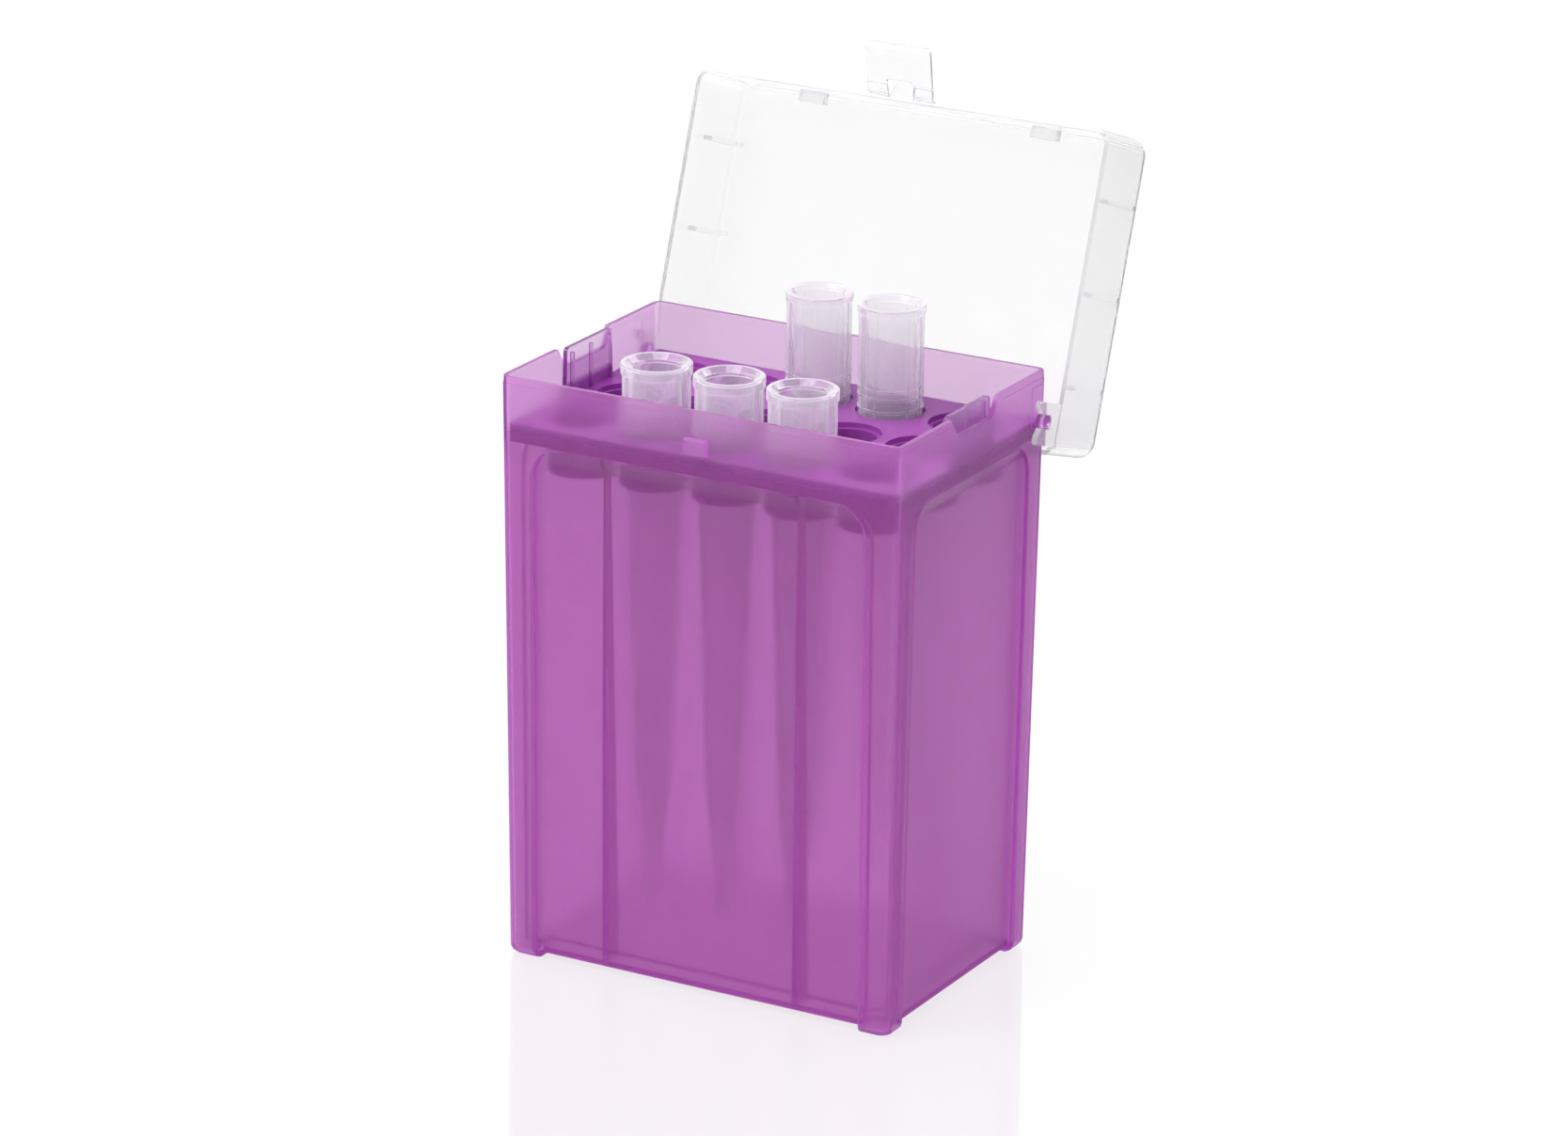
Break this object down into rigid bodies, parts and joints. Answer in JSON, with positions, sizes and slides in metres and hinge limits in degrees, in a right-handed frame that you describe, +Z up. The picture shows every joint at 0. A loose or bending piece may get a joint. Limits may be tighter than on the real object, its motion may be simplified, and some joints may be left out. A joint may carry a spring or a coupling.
{
  "type": "pipette tip box",
  "caption": "Tall hinged box of large pipette tips, open, with a drop-in rack, a latch flap on the lid and a few tips of two patterns standing in the holes",
  "frame": {"origin": "centre of the bounding box's bottom, with the lid open as modelled; the feet stand on Z = 0", "axes": "+Z up from the feet, +X along the long front of the box to the right, the latch side faces -Y"},
  "size_m": [0.1166, 0.1252, 0.2202],
  "materials": {
    "violet_pp": "satin",
    "deep_violet_pp": "satin",
    "clear_pp": "gloss",
    "tip_pp": "satin"
  },
  "bodies": {
    "base": {"box_base": "violet_pp", "tip_rack": "deep_violet_pp", "front_tip_left": "tip_pp", "front_tip_middle": "tip_pp", "front_tip_right": "tip_pp", "back_tip_middle": "tip_pp", "back_tip_right": "tip_pp"},
    "lid": {"lid": "clear_pp"},
    "latch": {"latch": "clear_pp"}
  },
  "joints": [
    {"name": "lid_hinge", "type": "hinge", "parent": "base", "child": "lid", "pos_m": [0, 0.01039, 0.1391], "axis": [1, 0, 0], "range_deg": [0, 109]},
    {"name": "latch_hinge", "type": "hinge", "parent": "lid", "child": "latch", "pos_m": [0, 0.03977, 0.20629], "axis": [1, 0, 0], "range_deg": [-86.7, 63.3]}
  ]
}
